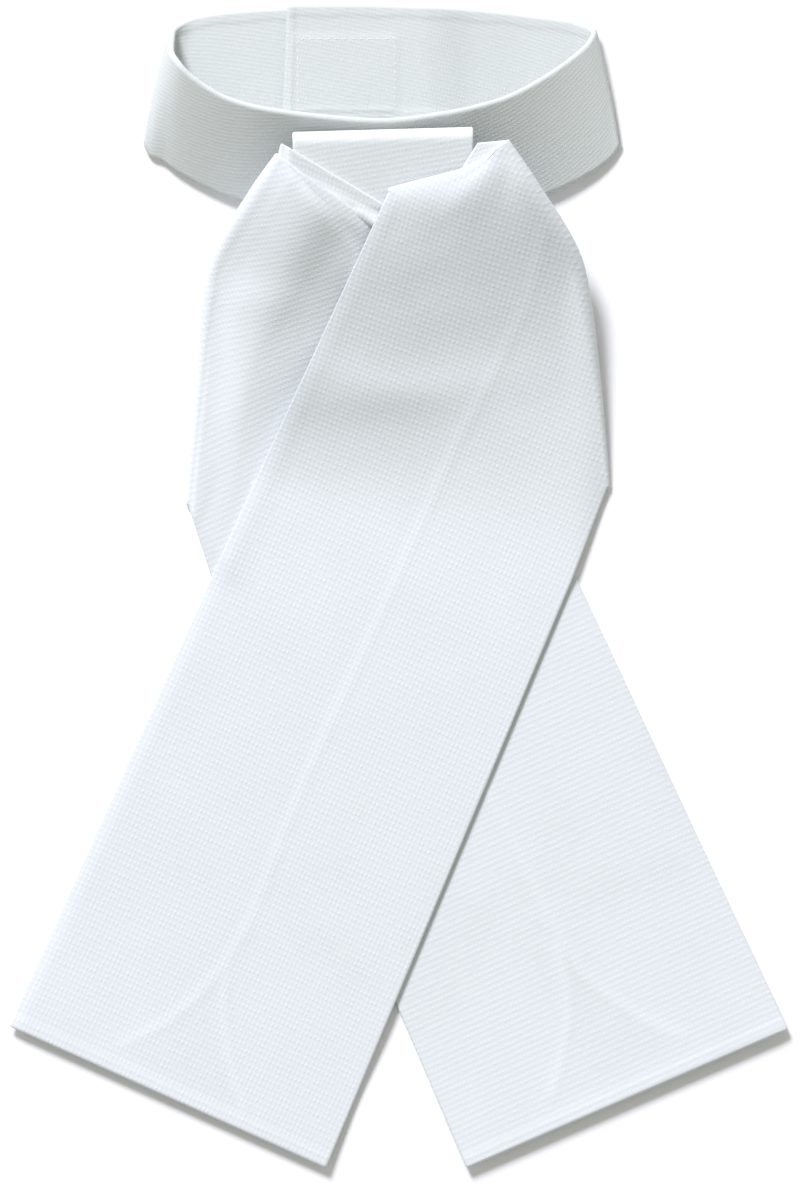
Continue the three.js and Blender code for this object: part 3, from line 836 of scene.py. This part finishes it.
def lip_shape(tops, columns):
    """Ways out from the crest in plan, and how far the cloth rolls over at each column."""
    along = np.gradient(tops[:, :2], axis=0)
    along /= np.linalg.norm(along, axis=1, keepdims=True)
    out = np.stack([-along[:, 1], along[:, 0], np.zeros(len(along))], axis=1)
    out *= np.sign(out[:, 1:2])
    fade = 1 - smooth_step(LIP["fade_from"], LIP["fade_to"], columns / CREST_COLUMNS)
    grown = LIP["tip"] + (1 - LIP["tip"]) * smooth_step(0.0, LIP["grown_by"], columns)
    return out, (LIP["radius"] * fade * grown)[:, None]


def lip_rows(crest, out, radius):
    """The panel's upper edge rolled over towards the wrap, from its tip to the crest."""
    radius = np.maximum(radius, LIP["least"])
    angles = np.linspace(math.radians(LIP["turn"]), 0, LIP["rows"] + 1)[:-1]
    return [crest + out * radius * math.sin(a) - UP * radius * (1 - math.cos(a)) for a in angles]


def scarf_columns():
    """Columns of a front panel, one of them where the fold starts, and the number of that one."""
    columns = spread(SCARF_CUT["across"], CELL) * ALL_COLUMNS
    first_fold = int(np.argmin(np.abs(columns - CREST_COLUMNS)))
    spans = (0.0, columns[first_fold], ALL_COLUMNS)
    return np.interp(columns, spans, (0.0, CREST_COLUMNS, ALL_COLUMNS)), first_fold


def rows_behind(tail, columns):
    """Rows of the outer fold's turn, and rows of the layer behind, which ends in the wrap."""
    turns = np.linspace(0, 1, SCARF_CUT["turn_rows"] + 1)[1:]
    to_mouth = np.linspace(0, 1, SCARF_CUT["back_rows"] + 1)[1:]
    into_mouth = np.linspace(1, 2, SCARF_CUT["mouth_rows"] + 1)[1:]
    turned = [[turn_point(tail, c, t) for c in columns] for t in turns]
    return turned, [[back_point(tail, c, s) for c in columns] for s in (*to_mouth, *into_mouth)]


def front_rows(tail, columns, tops, beneath):
    """Rows of the front panel from its crest down to the tail's end."""
    falls = np.linspace(0, 1, SCARF_CUT["drape_rows"] + 1) ** SCARF_CUT["drape_ease"]
    downs = spread(SCARF_CUT["down"], CELL, fine_start=False)[1:]
    drape = draped_rows(tail, columns, tops, falls, beneath)
    return np.concatenate([drape, [[flat_point(tail, c, b) for c in columns] for b in downs]])


def scarf_half(tail, beneath):
    """Middle surface of a scarf half, with the quads of its upper side set apart."""
    columns, first_fold = scarf_columns()
    tops = np.array([panel_top(tail, c) for c in columns])
    crest = slice(0, first_fold + 1)
    out, radius = lip_shape(tops[crest], columns[crest])
    tops[crest] -= out * radius * math.sin(math.radians(LIP["turn"]))
    turned, back = rows_behind(tail, columns[first_fold:])
    front = front_rows(tail, columns, tops, [surface_tree(tail, back), *beneath])
    behind = np.array(turned + back)
    lip = lip_rows(front[0, crest], out, radius)
    row_count, width = front.shape[:2]
    behind_count, narrow = behind.shape[:2]
    front_count = row_count * width
    lip_first = front_count + behind_count * narrow
    last = lip_first + (len(lip) - 1) * (first_fold + 1)
    quads = grid_quads(row_count, width)
    for c in range(narrow - 1):
        k = first_fold + c
        quads.append([front_count + c, front_count + c + 1, k + 1, k])
    quads += [quad[::-1] for quad in grid_quads(behind_count, narrow, front_count)]
    quads += grid_quads(len(lip), first_fold + 1, lip_first)
    quads += [[last + c, last + c + 1, c + 1, c] for c in range(first_fold)]
    points = np.vstack([front.reshape(-1, 3), behind.reshape(-1, 3), *lip])
    points[:, 0] *= tail["mirror"]
    quads = np.array(quads)
    upper = (quads < front_count) | (quads >= lip_first)
    upper_quads = quads[upper.all(axis=1)]
    if vertex_normals(points, upper_quads)[:, 2].sum() < 0:
        quads = quads[:, ::-1]
    return {"points": points, "quads": quads, "upper": upper_quads, "front": front_count, "width": width}


def tail_weave(points, mirror):
    """Places across and along a tail, whose angle the weave keeps up to the crest."""
    x, y, z = points[:, 0], points[:, 1], points[:, 2]
    along = mirror * math.sin(TAIL_ANGLE) * -x - math.cos(TAIL_ANGLE) * y - WEAVE_RISE * z
    across = math.cos(TAIL_ANGLE) * x - mirror * math.sin(TAIL_ANGLE) * y + WEAVE_RISE * z
    return np.stack([across, along], axis=1)


def seam_strength(x, y, side):
    """How much a seam of the lining shows at some points, from 0 to 1."""
    seam = np.zeros(np.shape(x))
    for line in RIDGES[side]:
        seam = np.maximum(seam, np.exp(-(distance_to_line(x, y, line) / RIDGE["width"]) ** 2))
    return seam


def front_relief(front, width, seam):
    """Extra height of a front panel's seams, hem and pressed inner edge."""
    rows = front.reshape(-1, width, 3)
    end_line = [front[-width, :2], front[-1, :2]]
    raised = RIDGE["height"] * seam + hem_height(HEM, distance_to_line(front[:, 0], front[:, 1], end_line))
    from_inner_edge = np.linalg.norm(rows - rows[:, :1], axis=2)
    from_crest = np.linalg.norm(rows - rows[:1], axis=2)
    pressed = np.maximum(0.0, 1 - from_inner_edge / PRESSED_EDGE["reach"]) ** 2
    pressed *= smooth_step(0.0, PRESSED_EDGE["from_top"], from_crest)
    return raised - PRESSED_EDGE["height"] * pressed.ravel()


def inside_corners(x, y, corners, ease):
    """How far points are inside some corners, given anticlockwise, from 0 to 1."""
    share = np.ones(np.shape(x))
    for start, end in zip(corners, corners[1:] + corners[:1]):
        share *= smooth_step(-ease, ease, left_of(x, y, start, end))
    return share


def make_scarf_half(name, tail, side, *beneath):
    """A scarf half over what is beneath it, with its upper side to cast rays on."""
    half = scarf_half(tail, beneath)
    points = half["points"]
    front = points[:half["front"]]
    x, y = front[:, 0], front[:, 1]
    seam = seam_strength(x, y, side)
    thin = inside_corners(x, y, THIN_PARTS[side], BACKING["ease"])
    raised, backing = np.zeros((2, len(points)))
    raised[:len(front)] = front_relief(front, half["width"], seam)
    backing[:len(front)] = BACKING["seam"] * seam + BACKING["thin"] * thin * (1 - seam)
    weave = tail_weave(points, tail["mirror"])
    piece = cloth_mesh(name, points, half["quads"], SCARF_WALL, raised, weave, backing)
    return piece, BVHTree.FromPolygons(points.tolist(), half["upper"].tolist())


# Inner plies


def make_inner_ply(name, ply, panel):
    """A strip of cloth that lies on the wrap and goes in beneath a front panel."""
    high_start, high_end, low_start, low_end = (np.array(corner) for corner in ply.values())
    length = (np.linalg.norm(high_end - high_start) + np.linalg.norm(low_end - low_start)) / 2
    width = (np.linalg.norm(low_start - high_start) + np.linalg.norm(low_end - high_end)) / 2
    columns, rows = spread(length, CELL), spread(width, CELL)
    clear = (SCARF_WALL + PLY_WALL) / 2 + PLY_CLEAR
    points, weave = [], []
    for r in rows:
        for c in columns:
            high = high_start + (high_end - high_start) * c
            low = low_start + (low_end - low_start) * c
            x, y, z = high + (low - high) * r
            z = max(z, height_over_wrap(x, y, PLY_WALL, PLY_EASE))
            hit = panel.ray_cast((x, y, 0.0), UP)[0]
            if hit is not None:
                z = min(z, hit.z - clear)
            points.append((x, y, z))
            weave.append((c * length, r * width))
    quads = facing(UP, points, grid_quads(len(rows), len(columns)))
    return cloth_mesh(name, points, quads, PLY_WALL, 0.0, weave), (width * MM, length * MM)


# Materials


def node_maker(tree):
    """A function that adds a node with its options, and fills its sockets in order or by name."""
    def make(kind, *in_order, named=None, **options):
        node = tree.nodes.new(kind)
        for option, value in options.items():
            setattr(node, option, value)
        for socket, value in [*enumerate(in_order), *(named or {}).items()]:
            if isinstance(value, bpy.types.Node):
                value = value.outputs[0]
            if isinstance(value, bpy.types.NodeSocket):
                tree.links.new(value, node.inputs[socket])
            else:
                node.inputs[socket].default_value = value
        return node
    return make


def noise(make, place, kind):
    """Noise of one kind, read at a place."""
    return make("ShaderNodeTexNoise", place, named={"Scale": kind["scale"], "Detail": kind["detail"]})


def plain_material(name, looks):
    """A material of one finish, and its shader."""
    material = bpy.data.materials.new(name)
    material.use_nodes = True
    shader = material.node_tree.nodes["Principled BSDF"]
    for socket, value in looks.items():
        shader.inputs[socket].default_value = value
    return material, shader


def pique_material(name, colour, cord, rib, depth, turn, shade):
    """Matt cotton with fine cords and cross ribs, drawn on the weave map in metres, with shade painted into
    the weave's low places.
    """
    material, shader = plain_material(name, COTTON)
    tree = material.node_tree
    make = node_maker(tree)

    def calc(operation, *values):
        return make("ShaderNodeMath", *values, operation=operation)

    def wave(place, period):
        """From 0 between two cords or ribs to 1 on top of them."""
        turns = calc("MULTIPLY", place, 2 * math.pi / period)
        return calc("MULTIPLY_ADD", calc("COSINE", turns), 0.5, 0.5)

    weave = make("ShaderNodeUVMap", uv_map="weave")
    wander = noise(make, weave, WANDER).outputs["Color"]
    centred = make("ShaderNodeVectorMath", wander, (0.5, 0.5, 0.5), operation="SUBTRACT")
    nudge = make("ShaderNodeVectorMath", centred, named={"Scale": WANDER["by"]}, operation="SCALE")
    place = make("ShaderNodeVectorMath", weave, nudge, operation="ADD")
    by = {"Angle": math.radians(turn)}
    turned = make("ShaderNodeVectorRotate", place, named=by, rotation_type="Z_AXIS")
    split = make("ShaderNodeSeparateXYZ", turned)
    cords, ribs = wave(split.outputs[0], cord), wave(split.outputs[1], rib)
    crossings = calc("MULTIPLY", cords, ribs)
    woven = calc("MULTIPLY_ADD", calc("ADD", cords, ribs), LINE_SHARE, crossings)
    firm = make("ShaderNodeMapRange", noise(make, weave, PATCHES), *PATCHES["range"])
    height = calc("MULTIPLY", woven, firm)
    fibrous = calc("MULTIPLY_ADD", noise(make, weave, FIBRES), FIBRES["height"], height)
    bump = make("ShaderNodeBump", named={"Strength": 1.0, "Distance": depth, "Height": fibrous})
    # Painted shade: the colour is darker where the weave is low, rising to the full colour on its high
    # places.
    unshaded_share = make("ShaderNodeMapRange", height, 0.0, UNSHADED_WEAVE_HEIGHT)
    low = [c * (1 - shade) for c in colour]
    mixed = {"Factor": unshaded_share, "A": (*low, 1), "B": (*colour, 1)}
    mix = make("ShaderNodeMix", named=mixed, data_type="RGBA")
    tone = make("ShaderNodeMapRange", noise(make, weave, BLOTCHES), *BLOTCHES["range"])
    backing = make("ShaderNodeAttribute", attribute_name="backing")
    shown = calc("ADD", tone, backing.outputs["Fac"])
    tinted = make("ShaderNodeVectorMath", mix.outputs["Result"], named={"Scale": shown}, operation="SCALE")
    tree.links.new(tinted.outputs[0], shader.inputs["Base Color"])
    tree.links.new(bump.outputs[0], shader.inputs["Normal"])
    return material


def thread_material():
    """Slightly shiny white sewing thread."""
    material, shader = plain_material("thread", THREAD)
    make = node_maker(material.node_tree)
    twist = noise(make, make("ShaderNodeTexCoord").outputs["Object"], TWIST)
    bump = make("ShaderNodeBump", named={"Distance": TWIST["depth"], "Height": twist})
    material.node_tree.links.new(bump.outputs[0], shader.inputs["Normal"])
    return material


# Stitches


def stitch_nodes():
    """Rounded stitches in a row along a path, as a node group with named inputs."""
    tree = bpy.data.node_groups.new("stitch_row", "GeometryNodeTree")
    sizes = {"Spacing": "Float", "Length": "Float", "Thickness": "Float"}
    for name, kind in {"Path": "Geometry", **sizes, "Thread": "Material"}.items():
        tree.interface.new_socket(name=name, in_out="INPUT", socket_type="NodeSocket" + kind)
    tree.interface.new_socket(name="Stitches", in_out="OUTPUT", socket_type="NodeSocketGeometry")
    make = node_maker(tree)
    given = make("NodeGroupInput").outputs
    curve = make("GeometryNodeMeshToCurve", given["Path"])
    places = make("GeometryNodeResampleCurve", curve, named={"Length": given["Spacing"]}, mode="LENGTH")
    tangent = make("GeometryNodeInputTangent")
    aim = make("FunctionNodeAlignRotationToVector", named={"Vector": tangent}, axis="X")
    limits = {2: STITCH["shortest"], 3: STITCH["longest"], "Seed": STITCH["seed"]}
    uneven = make("FunctionNodeRandomValue", named=limits, data_type="FLOAT")
    length = make("ShaderNodeMath", given["Length"], uneven.outputs[1], operation="MULTIPLY")
    size = make("ShaderNodeCombineXYZ", length, given["Thickness"], given["Thickness"])
    ball = make("GeometryNodeMeshUVSphere", *STITCH["ball"])
    laid = {"Instance": ball, "Rotation": aim, "Scale": size}
    row = make("GeometryNodeInstanceOnPoints", places, named=laid)
    real = make("GeometryNodeRealizeInstances", row)
    sewn = make("GeometryNodeSetMaterial", real, named={"Material": given["Thread"]})
    make("NodeGroupOutput", sewn)
    return tree


def make_stitches(name, corners, thread):
    """A closed row of stitches through some corners, as a plain mesh."""
    count = len(corners)
    path = bpy.data.meshes.new(name + "_path")
    edges = [(k, (k + 1) % count) for k in range(count)]
    path.from_pydata([[v * MM for v in corner] for corner in corners], edges, [])
    holder = put_in_scene(name + "_path", path)
    rows = holder.modifiers.new("rows", "NODES")
    rows.node_group = stitch_nodes()
    values = {size: STITCH[size.lower()] * MM for size in ("Spacing", "Length", "Thickness")}
    values["Thread"] = thread
    for item in rows.node_group.interface.items_tree:
        if item.name in values:
            rows[item.identifier] = values[item.name]
    evaluated = holder.evaluated_get(bpy.context.evaluated_depsgraph_get())
    mesh = bpy.data.meshes.new_from_object(evaluated)
    bpy.data.objects.remove(holder)
    return add_piece(name, mesh)


# Floor, light and camera


def make_floor():
    bpy.ops.mesh.primitive_plane_add(size=FLOOR_SIZE, location=(0, 0, 0))
    floor = bpy.context.object
    floor.name = "floor"
    floor.data.materials.append(plain_material("pale_floor", PALE_FLOOR)[0])


def make_light():
    direction = Vector(LAMP["at"]).normalized()
    data = bpy.data.lights.new("window", "AREA")
    data.shape = "DISK"
    data.size = LAMP["size"]
    data.energy = LAMP["power"]
    data.color = LAMP["colour"]
    lamp = put_in_scene("window", data)
    lamp.location = direction * LAMP["away"]
    lamp.rotation_euler = direction.to_track_quat("Z", "Y").to_euler()
    world = bpy.data.worlds.new("room")
    world.use_nodes = True
    for socket, value in ROOM.items():
        world.node_tree.nodes["Background"].inputs[socket].default_value = value
    bpy.context.scene.world = world
    bpy.context.scene.view_settings.view_transform = "Standard"


def make_camera():
    data = bpy.data.cameras.new("camera")
    data.sensor_fit = "VERTICAL"
    data.sensor_height = VIEW["sensor"]
    data.lens = VIEW["lens"]
    camera = put_in_scene("camera", data)
    camera.location = (VIEW["x"], VIEW["y"], VIEW["height_seen"] * data.lens / data.sensor_height)
    bpy.context.scene.camera = camera


# The cravat

make_camera()
make_light()
make_floor()

scarf_cotton, band_cotton_fine_weave_painted_shade, wrap_cotton_painted_light = [pique_material(**pique) for pique in PIQUES]

neckband, band_length = make_neckband()
# The band's darker colour is partly its finer weave and partly painted shade.
neckband.data.materials.append(band_cotton_fine_weave_painted_shade)
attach(neckband, "root")
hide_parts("neckband")

left, right = PAD["left"] + STITCH["inset"], PAD["right"] - STITCH["inset"]
low, high = PAD["low"] + STITCH["inset"], PAD["high"] - STITCH["inset"]
top = BAND_ON_PAD + BAND_WALL / 2 + IMPRINT["height"] - STITCH["sunk"]
corners = [(left, low, top), (right, low, top), (right, high, top), (left, high, top)]
stitches = make_stitches("pad_stitches", corners, thread_material())
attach(stitches, "root")

pad = make_fastener_pad()
# The pad takes the band's cotton, whose darker colour is partly painted shade.
pad.data.materials.append(band_cotton_fine_weave_painted_shade)
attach(pad, "root")
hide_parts("fastener_pad")

wrap, wrap_around = make_knot_wrap()
# The wrap's lighter colour is painted light.
wrap.data.materials.append(wrap_cotton_painted_light)
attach(wrap, "root")
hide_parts("knot_wrap")

under, under_panel = make_scarf_half("under_scarf", UNDER_TAIL, "under")
over, over_panel = make_scarf_half("over_scarf", OVER_TAIL, "over", under_panel)
for piece, node, resting in ((under, "under_tail", "knot_wrap_cloth"), (over, "over_tail", "under_scarf")):
    piece.data.materials.append(scarf_cotton)
    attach(piece, "root")
    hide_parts(node)
    area = sum(p.area for p in piece.data.polygons) / 2
    area = min(area, HALF_FLAT[0] * HALF_FLAT[1])

for side, panel in (("under", under_panel), ("over", over_panel)):
    ply, ply_size = make_inner_ply(side + "_inner_ply", PLIES[side], panel)
    # The plies take the wrap's cotton, whose lighter colour is painted light.
    ply.data.materials.append(wrap_cotton_painted_light)
    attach(ply, "root")
